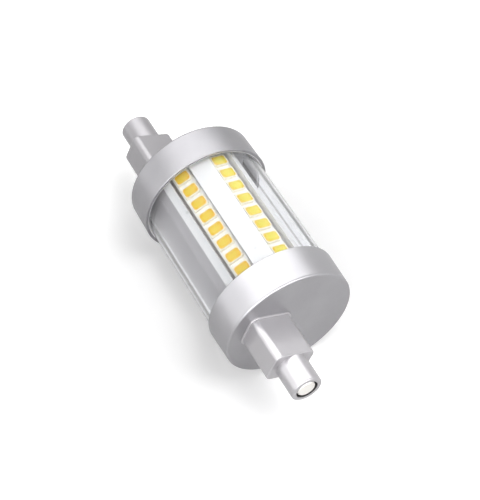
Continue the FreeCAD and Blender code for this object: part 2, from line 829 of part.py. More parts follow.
def check_and_write():
    """Stop on any failed object, then write one STEP file for each sub-part."""
    doc.recompute()
    failed = [item.Name for item in doc.Objects if {"Invalid", "Error"} & set(item.State)]
    bad = [
        body.Label
        for body in sub_parts
        if body.Shape.isNull() or not body.Shape.isValid() or not body.Shape.Solids
    ]
    if failed or bad:
        raise RuntimeError(f"failed objects: {failed}; bad shapes: {bad}")
    os.makedirs(PARTS_FOLDER, exist_ok=True)
    for body in sub_parts:
        body.Shape.exportStep(os.path.join(PARTS_FOLDER, f"{body.Label}.step"))
        print(f"{body.Label}: {len(body.Shape.Solids)} solid, {body.Shape.Volume:.2f} mm3")


def build():
    """Build every sub-part."""
    fill_sheet()
    clear_tube()
    for name, side in (("front", FRONT), ("rear", REAR)):
        end_cap(f"{name}_end_cap", side)
        contact_base(f"{name}_contact_base", side)
        contact(f"{name}_contact", side)
    carrier()
    for name, side in (("left", LEFT), ("right", RIGHT)):
        led_board(f"led_board_{name}", side)
        for place in range(1, LEDS_PER_BOARD + 1):
            led_package(f"led_{name}_{place}", side, place)
            phosphor(f"phosphor_{name}_{place}", side, place)
    driver_board()
    capacitor()
    inductor()
    varistor()
    fusible_resistor()
    chip("bridge_rectifier", "rectifier_length", "rectifier_pitch", RECTIFIER_LEGS)
    chip("driver_chip", "driver_chip_length", "driver_chip_pitch", DRIVER_CHIP_LEGS)
    sense_resistor()
    lead_wire("front_lead_wire", FRONT)
    lead_wire("rear_lead_wire", REAR)
    for name, side in (("left", LEFT), ("right", RIGHT)):
        led_wire(f"led_supply_wire_{name}", side, FRONT)
        led_wire(f"led_return_wire_{name}", side, REAR)
    check_and_write()


build()
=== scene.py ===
import json
import logging
import math
from collections.abc import Callable, Iterable
from dataclasses import dataclass, replace
from enum import Enum

import bpy
from mathutils import Matrix, Quaternion, Vector


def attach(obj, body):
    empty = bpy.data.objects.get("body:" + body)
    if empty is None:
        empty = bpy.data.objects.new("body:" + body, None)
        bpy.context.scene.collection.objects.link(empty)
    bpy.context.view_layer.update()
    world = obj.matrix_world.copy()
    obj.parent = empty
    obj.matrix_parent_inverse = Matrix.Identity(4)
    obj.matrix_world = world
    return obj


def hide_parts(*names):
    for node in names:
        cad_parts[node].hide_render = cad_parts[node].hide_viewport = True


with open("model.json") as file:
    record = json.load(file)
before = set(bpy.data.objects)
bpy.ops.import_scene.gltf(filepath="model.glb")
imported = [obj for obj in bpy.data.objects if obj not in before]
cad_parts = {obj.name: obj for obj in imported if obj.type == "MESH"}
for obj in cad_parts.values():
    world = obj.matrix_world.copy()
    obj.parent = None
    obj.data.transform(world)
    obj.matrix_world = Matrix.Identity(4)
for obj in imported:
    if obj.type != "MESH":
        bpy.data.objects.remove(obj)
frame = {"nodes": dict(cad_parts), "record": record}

# A double-ended linear LED lamp: X runs along the tube towards the front end, Z points out of the
# carrier's middle face. Sizes are millimetres and are turned to metres as they are used.
MM = 0.001
BODY = "root"
LOG = logging.getLogger("linear_led_lamp")

# Sizes that several pieces and finishes share. The contacts lie off the tube's axis, in a direction
# between Z and -Y. The boards slope down from the carrier's middle rib.
CONTACT_TURN = math.radians(62.7)
CONTACT_LIFT = 5.9
BOARD_TILT = math.radians(17.25)
TUBE_HALF = 21.0
CAP_FACE = 22.4

# Within these limits two places, two distances from an axis (both in metres) or two directions are one.
SAME_PLACE = 1e-6
SAME_RING = 2e-5
SAME_WAY = 0.999
AHEAD = Vector((1, 0, 0))

# What edit mode selects, and the shape of a bevel that is round.
PICK_EDGES = (False, True, False)
PICK_FACES = (False, False, True)
ROUND_PROFILE = 0.5

# The curve between a colour as a screen shows it and a linear one.
SCREEN_TOE = 0.04045
SCREEN_TOE_SLOPE = 12.92
SCREEN_OFFSET = 0.055
SCREEN_GAMMA = 2.4

# Places of the colours among the sockets of a Mix node, and the white of glow and surroundings.
MIX_FIRST = 6
MIX_SECOND = 7
MIX_RESULT = 2
WHITE_LIGHT = (1, 1, 1, 1)

Color = tuple[float, float, float, float]
Piece = bpy.types.Object
Material = bpy.types.Material
Tree = bpy.types.NodeTree
Node = bpy.types.Node
Socket = bpy.types.NodeSocket
Sockets = bpy.types.bpy_prop_collection
EdgeTest = Callable[[Vector, Vector], bool]
FaceTest = Callable[[bpy.types.MeshPolygon], bool]


class End(Enum):
    """An end of the lamp, with its turn in degrees about the direction of its contact."""

    FRONT = 0
    REAR = 180

    @property
    def label(self) -> str:
        """Return the end's name as the nodes have it."""
        return self.name.lower()

    @property
    def stance(self) -> Matrix:
        """Return the turn of the end: X outwards along the tube, Z towards its contact."""
        turn = Matrix.Rotation(CONTACT_TURN, 4, "X")
        return turn @ Matrix.Rotation(math.radians(self.value), 4, "Z")


class Side(Enum):
    """A side of the carrier, with its direction along Y."""

    LEFT = -1
    RIGHT = 1


class Reach(Enum):
    """What a lamp does to the surfaces that it falls on."""

    MATT = "lights them"
    GLOSS = "is mirrored in them"


def linear_part(shown: int) -> float:
    """Turn one part of a colour as a screen shows it into a linear one.

    Args:
        shown: The part, from 0 to 255.

    Returns:
        The linear part, from 0 to 1.
    """
    part = shown / 255
    if part <= SCREEN_TOE:
        return part / SCREEN_TOE_SLOPE
    return ((part + SCREEN_OFFSET) / (1 + SCREEN_OFFSET)) ** SCREEN_GAMMA


def tone(red: int, green: int, blue: int) -> Color:
    """Turn an opaque colour as a screen shows it, in parts from 0 to 255, into a linear one."""
    return (linear_part(red), linear_part(green), linear_part(blue), 1.0)


class Bench:
    """Steps of modelling by hand that the pieces share."""

    @staticmethod
    def clear() -> None:
        """Leave edit mode and deselect everything."""
        if bpy.context.object and bpy.context.object.mode != "OBJECT":
            bpy.ops.object.mode_set(mode="OBJECT")
        bpy.ops.object.select_all(action="DESELECT")

    @staticmethod
    def pick(piece: Piece) -> None:
        """Make a piece the only selected and the active object.

        Args:
            piece: The piece.
        """
        Bench.clear()
        piece.select_set(True)
        bpy.context.view_layer.objects.active = piece

    @staticmethod
    def settle(piece: Piece, name: str) -> Piece:
        """Name a piece and move its place, turn and scale into its mesh.

        Args:
            piece: The object to settle.
            name: Its name in the scene.

        Returns:
            The same object, at the origin.
        """
        Bench.pick(piece)
        bpy.ops.object.transform_apply(location=True, rotation=True, scale=True)
        piece.name = name
        piece.data.name = name
        return piece

    @staticmethod
    def rod(name: str, radius: float, start: float, end: float, sides: int, lift: float = 0.0) -> Piece:
        """Add a round rod along X.

        Args:
            name: Name of the piece.
            radius: Its radius.
            start: Lower X.
            end: Upper X.
            sides: Number of sides round the rod.
            lift: Height of its axis above the X axis.

        Returns:
            The rod.
        """
        Bench.clear()
        bpy.ops.mesh.primitive_cylinder_add(
            vertices=sides,
            radius=radius * MM,
            depth=(end - start) * MM,
            end_fill_type="NGON",
            location=((start + end) / 2 * MM, 0, lift * MM),
            rotation=(0, math.pi / 2, 0),
        )
        return Bench.settle(bpy.context.object, name)

    @staticmethod
    def block(name: str, start: float, end: float, width: float, depth: float, lift: float) -> Piece:
        """Add a block along X.

        Args:
            name: Name of the piece.
            start: Lower X.
            end: Upper X.
            width: Size along Y.
            depth: Size along Z.
            lift: Height of its middle above the X axis.

        Returns:
            The block.
        """
        Bench.clear()
        bpy.ops.mesh.primitive_cube_add(size=1, location=((start + end) / 2 * MM, 0, lift * MM))
        bpy.context.object.scale = Vector((end - start, width, depth)) * MM
        return Bench.settle(bpy.context.object, name)

    @staticmethod
    def faces(piece: Piece, test: FaceTest) -> None:
        """Enter edit mode with some faces selected.

        Args:
            piece: The piece to edit.
            test: Tells which faces are wanted.
        """
        Bench.pick(piece)
        mesh = piece.data
        mesh.vertices.foreach_set("select", [False] * len(mesh.vertices))
        mesh.edges.foreach_set("select", [False] * len(mesh.edges))
        mesh.polygons.foreach_set("select", [test(face) for face in mesh.polygons])
        bpy.context.tool_settings.mesh_select_mode = PICK_FACES
        bpy.ops.object.mode_set(mode="EDIT")

    @staticmethod
    def edges(piece: Piece, test: EdgeTest) -> None:
        """Enter edit mode with some edges selected.

        Args:
            piece: The piece to edit.
            test: Tells from the two ends of an edge whether it is wanted.
        """
        Bench.pick(piece)
        mesh = piece.data
        spots = [vertex.co for vertex in mesh.vertices]
        picked = [test(spots[edge.vertices[0]], spots[edge.vertices[1]]) for edge in mesh.edges]
        mesh.vertices.foreach_set("select", [False] * len(mesh.vertices))
        mesh.polygons.foreach_set("select", [False] * len(mesh.polygons))
        mesh.edges.foreach_set("select", picked)
        bpy.context.tool_settings.mesh_select_mode = PICK_EDGES
        bpy.ops.object.mode_set(mode="EDIT")

    @staticmethod
    def round_off(piece: Piece, test: EdgeTest, size: float, facets: int) -> None:
        """Round some edges of a piece.

        Args:
            piece: The piece.
            test: Tells which edges are wanted.
            size: Radius of the round.
            facets: Number of facets across it.
        """
        Bench.edges(piece, test)
        bpy.ops.mesh.bevel(offset=size * MM, segments=facets, profile=ROUND_PROFILE, affect="EDGES")
        Bench.clear()

    @staticmethod
    def hollow(piece: Piece, test: FaceTest, rim: float, depth: float) -> None:
        """Sink some faces of a piece inside a rim.

        Args:
            piece: The piece.
            test: Tells which faces are wanted.
            rim: Width of the rim that stays.
            depth: How far the faces move along X.
        """
        Bench.faces(piece, test)
        bpy.ops.mesh.inset(thickness=rim * MM, use_even_offset=True)
        move = {"value": (depth * MM, 0, 0)}
        bpy.ops.mesh.extrude_region_move(TRANSFORM_OT_translate=move)
        Bench.clear()

    @staticmethod
    def modify(piece: Piece, kind: str, **settings: object) -> None:
        """Add a modifier to a piece and apply it.

        Args:
            piece: The piece.
            kind: The modifier's type.
            **settings: Its settings by name.
        """
        Bench.pick(piece)
        modifier = piece.modifiers.new(kind.title(), kind)
        for name, value in settings.items():
            setattr(modifier, name, value)
        bpy.ops.object.modifier_apply(modifier=modifier.name)

    @staticmethod
    def combine(piece: Piece, other: Piece, operation: str) -> None:
        """Join a piece with another one or cut it by that one, which is then removed."""
        Bench.modify(piece, "BOOLEAN", object=other, operation=operation, solver="EXACT")
        bpy.data.objects.remove(other)

    @staticmethod
    def smooth(piece: Piece, degrees: float = 35.0) -> None:
        """Shade a piece smooth over its shallow edges, and keep its flat faces flat.

        Args:
            piece: The piece.
            degrees: Edges steeper than this stay sharp.
        """
        Bench.pick(piece)
        bpy.ops.object.shade_smooth_by_angle(angle=math.radians(degrees))
        Bench.modify(piece, "WEIGHTED_NORMAL", keep_sharp=True)

    @staticmethod
    def copy(piece: Piece, name: str, move: Matrix) -> Piece:
        """Copy a piece with its own mesh to a new place.

        Args:
            piece: The piece to copy.
            name: Name of the copy.
            move: The move from the piece's place to the copy's.

        Returns:
            The copy, at the origin.
        """
        Bench.pick(piece)
        bpy.ops.object.duplicate(linked=False)
        twin = bpy.context.object
        twin.matrix_world = move
        return Bench.settle(twin, name)


def same(first: float, second: float) -> bool:
    """Tell whether a place in metres and one in millimetres are one."""
    return abs(first - second * MM) < SAME_PLACE


def looking(direction: Vector, place: float) -> FaceTest:
    """Return a test for faces that look along X one way, at a place along X."""
    return lambda face: face.normal.dot(direction) > SAME_WAY and same(face.center.x, place)


def across(place: float, radius: float | None = None, lift: float = 0.0) -> EdgeTest:
    """Return a test for edges in the plane at a place along X.

    Args:
        place: Place of the plane.
        radius: Distance of the edge's ends from the axis, or None for any.
        lift: Height of that axis above the X axis.

    Returns:
        The test.
    """

    def is_wanted(start: Vector, end: Vector) -> bool:
        """Tell whether both ends are in the plane and at the radius.

        Args:
            start: One end of the edge.
            end: Its other end.

        Returns:
            Whether the edge is wanted.
        """
        for spot in (start, end):
            reach = math.hypot(spot.y, spot.z - lift * MM)
            if not same(spot.x, place) or (radius is not None and abs(reach - radius * MM) > SAME_RING):
                return False
        return True

    return is_wanted


def along(start: Vector, end: Vector) -> bool:
    """Tell whether an edge runs along X."""
    return abs(start.y - end.y) < SAME_PLACE and abs(start.z - end.z) < SAME_PLACE


class Nodes:
    """A node tree under construction."""

    def __init__(self, tree: Tree) -> None:
        """Start on the tree, emptied."""
        self.tree = tree
        tree.nodes.clear()

    def give(self, socket: Socket, value: object) -> None:
        """Link an output to an input, or set the input's value.

        Args:
            socket: The input.
            value: The output that it is linked to, or its plain value.
        """
        if isinstance(value, Socket):
            self.tree.links.new(value, socket)
        else:
            socket.default_value = value

    def fill(self, node: Node, **values: object) -> None:
        """Set or link the inputs of a node by their names, with spaces as underscores."""
        for name, value in values.items():
            self.give(node.inputs[name.replace("_", " ")], value)

    def add(self, kind: str, options: dict[str, object] | None = None, **values: object) -> Node:
        """Add a node.

        Args:
            kind: The node's type, without its ShaderNode prefix.
            options: Properties of the node by name.
            **values: Values or links of its inputs by name.

        Returns:
            The node.
        """
        node = self.tree.nodes.new(f"ShaderNode{kind}")
        for name, value in (options or {}).items():
            setattr(node, name, value)
        self.fill(node, **values)
        return node

    def group(self, tree: Tree, **values: object) -> Node:
        """Place a shared group.

        Args:
            tree: The group's tree.
            **values: Values or links of its inputs by name.

        Returns:
            The node.
        """
        node = self.tree.nodes.new("ShaderNodeGroup")
        node.node_tree = tree
        self.fill(node, **values)
        return node

    def math(self, operation: str, first: object, second: object = 0.0) -> Socket:
        """Add a calculation.

        Args:
            operation: Name of the calculation.
            first: First value or its socket.
            second: Second value or its socket.

        Returns:
            The result.
        """
        node = self.add("Math", {"operation": operation})
        self.give(node.inputs[0], first)
        self.give(node.inputs[1], second)
        return node.outputs[0]

    def mix(self, factor: object, first: object, second: object) -> Socket:
        """Add a mix of two colours.

        Args:
            factor: 0 for the first colour, 1 for the second.
            first: First colour or its socket.
            second: Second colour or its socket.

        Returns:
            The mixed colour.
        """
        node = self.add("Mix", {"data_type": "RGBA"})
        self.give(node.inputs[0], factor)
        self.give(node.inputs[MIX_FIRST], first)
        self.give(node.inputs[MIX_SECOND], second)
        return node.outputs[MIX_RESULT]

    def between(self, value: object, low: float, high: float) -> Socket:
        """Add a soft step.

        Args:
            value: The value or its socket.
            low: Where the step is 0.
            high: Where the step is 1.

        Returns:
            The step's height.
        """
        step = self.add("MapRange", {"interpolation_type": "SMOOTHSTEP"}, From_Min=low, From_Max=high)
        self.give(step.inputs["Value"], value)
        return step.outputs[0]

    def parts(self, place: Socket) -> Sockets:
        """Return the X, Y and Z of a place."""
        return self.add("SeparateXYZ", Vector=place).outputs

    def length(self, place: Socket) -> Socket:
        """Return the distance of a place from the origin."""
        return self.add("VectorMath", {"operation": "LENGTH"}, Vector=place).outputs["Value"]

    def radius(self, place: Socket) -> Socket:
        """Return the distance of a place from the X axis.

        Args:
            place: The place.

        Returns:
            The distance.
        """
        off_axis = self.add("VectorMath", {"operation": "MULTIPLY"}, Vector=place)
        off_axis.inputs[1].default_value = (0, 1, 1)
        return self.length(off_axis.outputs[0])

    def off_middle(self, place: Socket) -> Socket:
        """Return the distance of a place from the lamp's middle along X."""
        return self.math("ABSOLUTE", self.parts(place)["X"])

    def opened(self, surface: Socket, mask: object) -> Socket:
        """Make a surface see-through where a mask is 1.

        Args:
            surface: The surface's shader.
            mask: The mask.

        Returns:
            The opened surface.
        """
        mixed = self.add("MixShader", Fac=mask)
        self.give(mixed.inputs[1], surface)
        self.give(mixed.inputs[2], self.add("BsdfTransparent").outputs[0])
        return mixed.outputs[0]


class SharedEffects:
    """Node groups that several finishes use, each built once."""

    GRAIN_RANGE = (0.3, 0.7)
    GRAIN_DETAIL = 3.0
    BLOTCH_RANGE = (0.35, 0.65)
    BLOTCH_DETAIL = 4.0
    SPECK_RANGE = (0.05, 0.12)

    def __init__(self) -> None:
        """Build every group."""
        self.grain = self._grain()
        self.blotch = self._blotch()
        self.specks = self._specks()

    @staticmethod
    def _open(
        name: str, inputs: Iterable[tuple[str, str]], outputs: Iterable[tuple[str, str]]
    ) -> tuple[Nodes, Sockets, Sockets]:
        """Make an empty group with named sockets.

        Args:
            name: Name of the group.
            inputs: Name and kind of each input.
            outputs: Name and kind of each output.

        Returns:
            The group's nodes, the outputs of its input node and the inputs of its output node.
        """
        tree = bpy.data.node_groups.new(name, "ShaderNodeTree")
        for direction, sockets in (("INPUT", inputs), ("OUTPUT", outputs)):
            for label, kind in sockets:
                tree.interface.new_socket(label, in_out=direction, socket_type=f"NodeSocket{kind}")
        nodes = Nodes(tree)
        given = tree.nodes.new("NodeGroupInput").outputs
        result = tree.nodes.new("NodeGroupOutput").inputs
        return nodes, given, result

    def _grain(self) -> Tree:
        """Build fine grain: a height for bump and a roughness between two limits.

        Returns:
            The group's tree.
        """
        nodes, given, result = self._open(
            "fine_grain",
            (("Place", "Vector"), ("Scale", "Float"), ("Low", "Float"), ("High", "Float")),
            (("Height", "Float"), ("Roughness", "Float")),
        )
        fine = nodes.add(
            "TexNoise", Vector=given["Place"], Scale=given["Scale"], Detail=self.GRAIN_DETAIL
        ).outputs[0]
        low, high = self.GRAIN_RANGE
        spread = nodes.add("MapRange", Value=fine, From_Min=low, From_Max=high)
        nodes.fill(spread, To_Min=given["Low"], To_Max=given["High"])
        nodes.give(result["Height"], fine)
        nodes.give(result["Roughness"], spread.outputs[0])
        return nodes.tree

    def _blotch(self) -> Tree:
        """Build broad soft variation between two colours.

        Returns:
            The group's tree.
        """
        nodes, given, result = self._open(
            "soft_blotch",
            (("Place", "Vector"), ("Scale", "Float"), ("First", "Color"), ("Second", "Color")),
            (("Color", "Color"),),
        )
        broad = nodes.add(
            "TexNoise", Vector=given["Place"], Scale=given["Scale"], Detail=self.BLOTCH_DETAIL
        ).outputs[0]
        low, high = self.BLOTCH_RANGE
        mask = nodes.add("MapRange", Value=broad, From_Min=low, From_Max=high).outputs[0]
        nodes.give(result["Color"], nodes.mix(mask, given["First"], given["Second"]))
        return nodes.tree

    def _specks(self) -> Tree:
        """Build sparse dust and pinpoint marks that tint a colour.

        Returns:
            The group's tree.
        """
        nodes, given, result = self._open(
            "sparse_specks",
            (("Place", "Vector"), ("Scale", "Float"), ("Base", "Color"), ("Speck", "Color")),
            (("Color", "Color"),),
        )
        cells = nodes.add("TexVoronoi", Vector=given["Place"], Scale=given["Scale"]).outputs["Distance"]
        low, high = self.SPECK_RANGE
        mask = nodes.add("MapRange", Value=cells, From_Min=low, From_Max=high, To_Min=1.0, To_Max=0.0)
        nodes.give(result["Color"], nodes.mix(mask.outputs[0], given["Base"], given["Speck"]))
        return nodes.tree


class Surface(Nodes):
    """The node tree of a material under construction, with its place on the piece and its shader."""

    def __init__(self, material: Material, effects: SharedEffects) -> None:
        """Start on the tree of a new material.

        Args:
            material: The material.
            effects: The shared node groups.
        """
        material.use_nodes = True
        super().__init__(material.node_tree)
        self.effects = effects
        self.place = self.add("TexCoord").outputs["Object"]
        self.shader = self.add("BsdfPrincipled")

    def feed(self, **values: object) -> None:
        """Set or link the shader's inputs by their names."""
        self.fill(self.shader, **values)

    def show(self, result: Socket) -> None:
        """Make a shader the one that the material shows."""
        self.add("OutputMaterial", Surface=result)


@dataclass(frozen=True)
class Finish:
    """A moulded, coated or plated surface in two near tones, with fine grain.

    Its roughness varies between low and high. The scales are per metre, the grain's height is in
    millimetres and its depth is the share of that height which shows.
    """

    name: str
    first: Color
    second: Color
    low: float = 0.35
    high: float = 0.5
    metallic: float = 0.0
    coat: float = 0.0
    specular: float = 0.5
    blotch_scale: float = 90.0
    grain_scale: float = 5200.0
    grain_depth: float = 0.15
    grain_height: float = 0.02

    def build(self, effects: SharedEffects) -> Material:
        """Build the finish as a node material.

        Args:
            effects: The shared node groups.

        Returns:
            The material.
        """
        material = bpy.data.materials.new(self.name)
        surface = Surface(material, effects)
        surface.feed(Metallic=self.metallic, Coat_Weight=self.coat, Specular_IOR_Level=self.specular)
        self._dress(surface)
        surface.show(self._cover(surface))
        return material

    def _dress(self, surface: Surface) -> None:
        """Feed the shader's colour, roughness and normal.

        Args:
            surface: The material's nodes.
        """
        grain = surface.group(
            surface.effects.grain, Place=surface.place, Scale=self.grain_scale, Low=self.low, High=self.high
        ).outputs
        bump = surface.add(
            "Bump", Strength=self.grain_depth, Distance=self.grain_height * MM, Height=grain["Height"]
        )
        surface.feed(
            Base_Color=self._color(surface), Roughness=grain["Roughness"], Normal=bump.outputs["Normal"]
        )

    def _color(self, surface: Surface) -> Socket:
        """Return the colour of the surface.

        Args:
            surface: The material's nodes.

        Returns:
            The colour, which varies softly between the two tones.
        """
        blotch = surface.group(
            surface.effects.blotch,
            Place=surface.place,
            Scale=self.blotch_scale,
            First=self.first,
            Second=self.second,
        )
        return blotch.outputs["Color"]

    def _cover(self, surface: Surface) -> Socket:
        """Return what the material shows, which is its shader alone."""
        return surface.shader.outputs[0]


@dataclass(frozen=True)
class DustedFinish(Finish):
    """A finish with sparse specks of another colour."""

    speck: Color = (0.2, 0.2, 0.2, 1.0)
    speck_scale: float = 700.0

    def _color(self, surface: Surface) -> Socket:
        """Return the plain colour with specks on it.

        Args:
            surface: The material's nodes.

        Returns:
            The colour.
        """
        specks = surface.group(
            surface.effects.specks,
            Place=surface.place,
            Scale=self.speck_scale,
            Base=super()._color(surface),
            Speck=self.speck,
        )
        return specks.outputs["Color"]


@dataclass(frozen=True)
class PaintedShadeFinish(DustedFinish):
    """White moulding with painted shade: grey flanks and back stand in for the shade on the sides turned
    from the light, and a grey line in the groove outside the left board stands in for the shade that falls
    there.
    """

    flank: Color = (0.5, 0.5, 0.5, 1.0)
    flank_top: float = 7.3
    flank_blend: float = 0.1
    paste: Color = (0.3, 0.3, 0.3, 1.0)
    paste_start: float = 5.0
    rib_half: float = 2.36
    rib_height: float = 10.9
    seat_depth: float = 1.33
    seat_slack: float = 0.15
    seat_reach: float = 7.25

    def _color(self, surface: Surface) -> Socket:
        """Return the white with the painted shade of the flanks and of the groove on it.

        Args:
            surface: The material's nodes.

        Returns:
            The colour.
        """
        white = super()._color(surface)
        spot = surface.parts(surface.place)
        above = (self.flank_top + self.flank_blend) * MM
        below = (self.flank_top - self.flank_blend) * MM
        # Painted shade: grey below the flank line, for the sides turned from the light.
        moulding = surface.mix(surface.between(spot["Z"], above, below), white, self.flank)
        # Painted shade: a grey line in the groove outside the left board, where shade falls.
        return surface.mix(self._pasted(surface, spot), moulding, self.paste)

    def _pasted(self, surface: Surface, spot: Sockets) -> Socket:
        """Return a mask of the painted shade in the groove outside the left board, which slopes with the
        board's seat.

        Args:
            surface: The material's nodes.
            spot: X, Y and Z of the place on the piece.

        Returns:
            The mask.
        """
        down = surface.math("SUBTRACT", spot["Z"], self.rib_height * MM)
        aside = surface.math("SUBTRACT", surface.math("ABSOLUTE", spot["Y"]), self.rib_half * MM)
        drop = surface.math("MULTIPLY", down, math.cos(BOARD_TILT))
        slope = surface.math("MULTIPLY", aside, math.sin(BOARD_TILT))
        depth = surface.math("ADD", drop, slope)
        sunk = surface.math("LESS_THAN", depth, (self.seat_slack - self.seat_depth) * MM)
        left = surface.math("MULTIPLY", spot["Y"], Side.LEFT.value)
        inner = surface.math("LESS_THAN", left, self.seat_reach * MM)
        outer = surface.math("GREATER_THAN", left, self.paste_start * MM)
        return surface.math("MULTIPLY", sunk, surface.math("MULTIPLY", inner, outer))


@dataclass(frozen=True)
class LinedFinish(Finish):
    """A metal-like coat on the outside of the caps, whose insides stay bare white moulding."""

    inside: Color = (0.8, 0.8, 0.8, 1.0)
    inner_radius: float = 14.2
    inner_reach: float = 21.2

    def _dress(self, surface: Surface) -> None:
        """Feed the shader, with no metal on the inside.

        Args:
            surface: The material's nodes.
        """
        super()._dress(surface)
        coated = surface.math("SUBTRACT", 1.0, self._bare(surface))
        surface.feed(Metallic=surface.math("MULTIPLY", coated, self.metallic))

    def _color(self, surface: Surface) -> Socket:
        """Return the coat's colour, and the moulding's own on the inside."""
        return surface.mix(self._bare(surface), super()._color(surface), self.inside)

    def _bare(self, surface: Surface) -> Socket:
        """Return a mask of the inside, which is near the tube and short of the face.

        Args:
            surface: The material's nodes.

        Returns:
            The mask.
        """
        near = surface.math("LESS_THAN", surface.radius(surface.place), self.inner_radius * MM)
        short = surface.math("LESS_THAN", surface.off_middle(surface.place), self.inner_reach * MM)
        return surface.math("MULTIPLY", near, short)


@dataclass(frozen=True)
class RecessShadeFinish(Finish):
    """A grey moulding with painted shade: dark inside the recess round each contact."""

    # Painted shade for the inside of the recess.
    recess: Color = (0.1, 0.1, 0.1, 1.0)
    recess_radius: float = 2.42
    recess_floor: float = 37.6

    def _color(self, surface: Surface) -> Socket:
        """Return the grey, turned dark by painted shade near the contact's axis at both tips.

        Args:
            surface: The material's nodes.

        Returns:
            The colour.
        """
        axis = Vector((0, -math.sin(CONTACT_TURN), math.cos(CONTACT_TURN))) * CONTACT_LIFT * MM
        from_axis = surface.add("VectorMath", {"operation": "SUBTRACT"}, Vector=surface.place)
        from_axis.inputs[1].default_value = axis
        reach = surface.radius(from_axis.outputs[0])
        near = surface.math("LESS_THAN", reach, self.recess_radius * MM)
        at_tip = surface.math("GREATER_THAN", surface.off_middle(surface.place), self.recess_floor * MM)
        sunk = surface.math("MULTIPLY", near, at_tip)
        return surface.mix(sunk, super()._color(surface), self.recess)


@dataclass(frozen=True)
class ClearFinish(Finish):
    """Clear moulding that lets light through to what is inside.

    The dark lines and the pale rim are painted reflection: tints standing in for the dark surroundings that
    refraction and inner reflection show in a thick wall. They lie where the skins turn away from the eye by
    the given shares.
    """

    refraction: float = 1.46
    mirror: Color = (0.12, 0.12, 0.12, 1.0)
    wall_middle: float = 13.4
    outer_line: Color = (0.02, 0.019, 0.018, 1.0)
    outer_line_at: tuple[float, float, float] = (0.61, 0.72, 0.83)
    inner_line: Color = (0.3, 0.29, 0.28, 1.0)
    inner_line_at: tuple[float, float, float] = (0.535, 0.58, 0.625)
    rim: Color = (0.66, 0.65, 0.65, 1.0)
    rim_at: tuple[float, float] = (0.8, 0.9)

    def _dress(self, surface: Surface) -> None:
        """Make the shader clear, then feed it as any other."""
        surface.feed(IOR=self.refraction, Transmission_Weight=1.0, Specular_Tint=self.mirror)
        super()._dress(surface)

    def _color(self, surface: Surface) -> Socket:
        """Return the clear colour with painted dark lines, standing in for what the two skins of a thick
        wall show by refraction and inner reflection.

        Args:
            surface: The material's nodes.

        Returns:
            The colour.
        """
        base = super()._color(surface)
        facing = surface.add("LayerWeight", Blend=0.5).outputs["Facing"]
        outside = surface.math("GREATER_THAN", surface.radius(surface.place), self.wall_middle * MM)
        # Painted reflection: a dark line and a rim tint near the edge of the outer skin.
        outer = surface.mix(self._line(surface, facing, self.outer_line_at), base, self.outer_line)
        outer = surface.mix(surface.between(facing, *self.rim_at), outer, self.rim)
        # Painted reflection: a dark line near the edge of the inner skin.
        inner = surface.mix(self._line(surface, facing, self.inner_line_at), base, self.inner_line)
        return surface.mix(outside, inner, outer)

    def _line(self, surface: Surface, facing: Socket, spread: tuple[float, float, float]) -> Socket:
        """Return a mask that rises and falls again as the skin turns away.

        Args:
            surface: The material's nodes.
            facing: How far the skin is turned away.
            spread: Where the mask starts, peaks and ends.

        Returns:
            The mask.
        """
        start, peak, end = spread
        rise, fall = surface.between(facing, start, peak), surface.between(facing, end, peak)
        return surface.math("MULTIPLY", rise, fall)

    def _cover(self, surface: Surface) -> Socket:
        """Return the shader, opened for the light that falls through to the inside.

        Args:
            surface: The material's nodes.

        Returns:
            The opened shader.
        """
        path = surface.add("LightPath").outputs
        falling = surface.math("MAXIMUM", path["Is Shadow Ray"], path["Is Diffuse Ray"])
        return surface.opened(surface.shader.outputs[0], falling)


@dataclass(frozen=True)
class PhosphorFinish(Finish):
    """Yellow phosphor gel, lighter above each chip and deeper towards the walls of its cavity.

    The row's middle lies across the middle of the lamp and at a height. Each light spot reaches from its
    core to its rim and is stretched along Y.
    """

    edge: Color = (1.0, 0.6, 0.1, 1.0)
    side: Side = Side.RIGHT
    pitch: float = 3.85
    across_middle: float = 4.3
    height: float = 8.9
    core: float = 0.7
    rim: float = 1.45
    stretch: float = 0.8

    def _color(self, surface: Surface) -> Socket:
        """Return the gel's colour, which turns to its edge tone away from each chip.

        Args:
            surface: The material's nodes.

        Returns:
            The colour.
        """
        way = self.side.value
        seat = surface.add("Mapping", {"vector_type": "TEXTURE"}, Vector=surface.place)
        seat.inputs["Location"].default_value = (0, way * self.across_middle * MM, self.height * MM)
        seat.inputs["Rotation"].default_value = (-way * BOARD_TILT, 0, 0)
        spot = surface.parts(seat.outputs[0])
        wrap = surface.add("Math", {"operation": "WRAP"})
        surface.give(wrap.inputs[0], spot["X"])
        wrap.inputs[1].default_value = self.pitch / 2 * MM
        wrap.inputs[2].default_value = -self.pitch / 2 * MM
        aside = surface.math("MULTIPLY", spot["Y"], self.stretch)
        reach = surface.length(surface.add("CombineXYZ", X=wrap.outputs[0], Y=aside).outputs[0])
        away = surface.between(reach, self.core * MM, self.rim * MM)
        return surface.mix(away, super()._color(surface), self.edge)


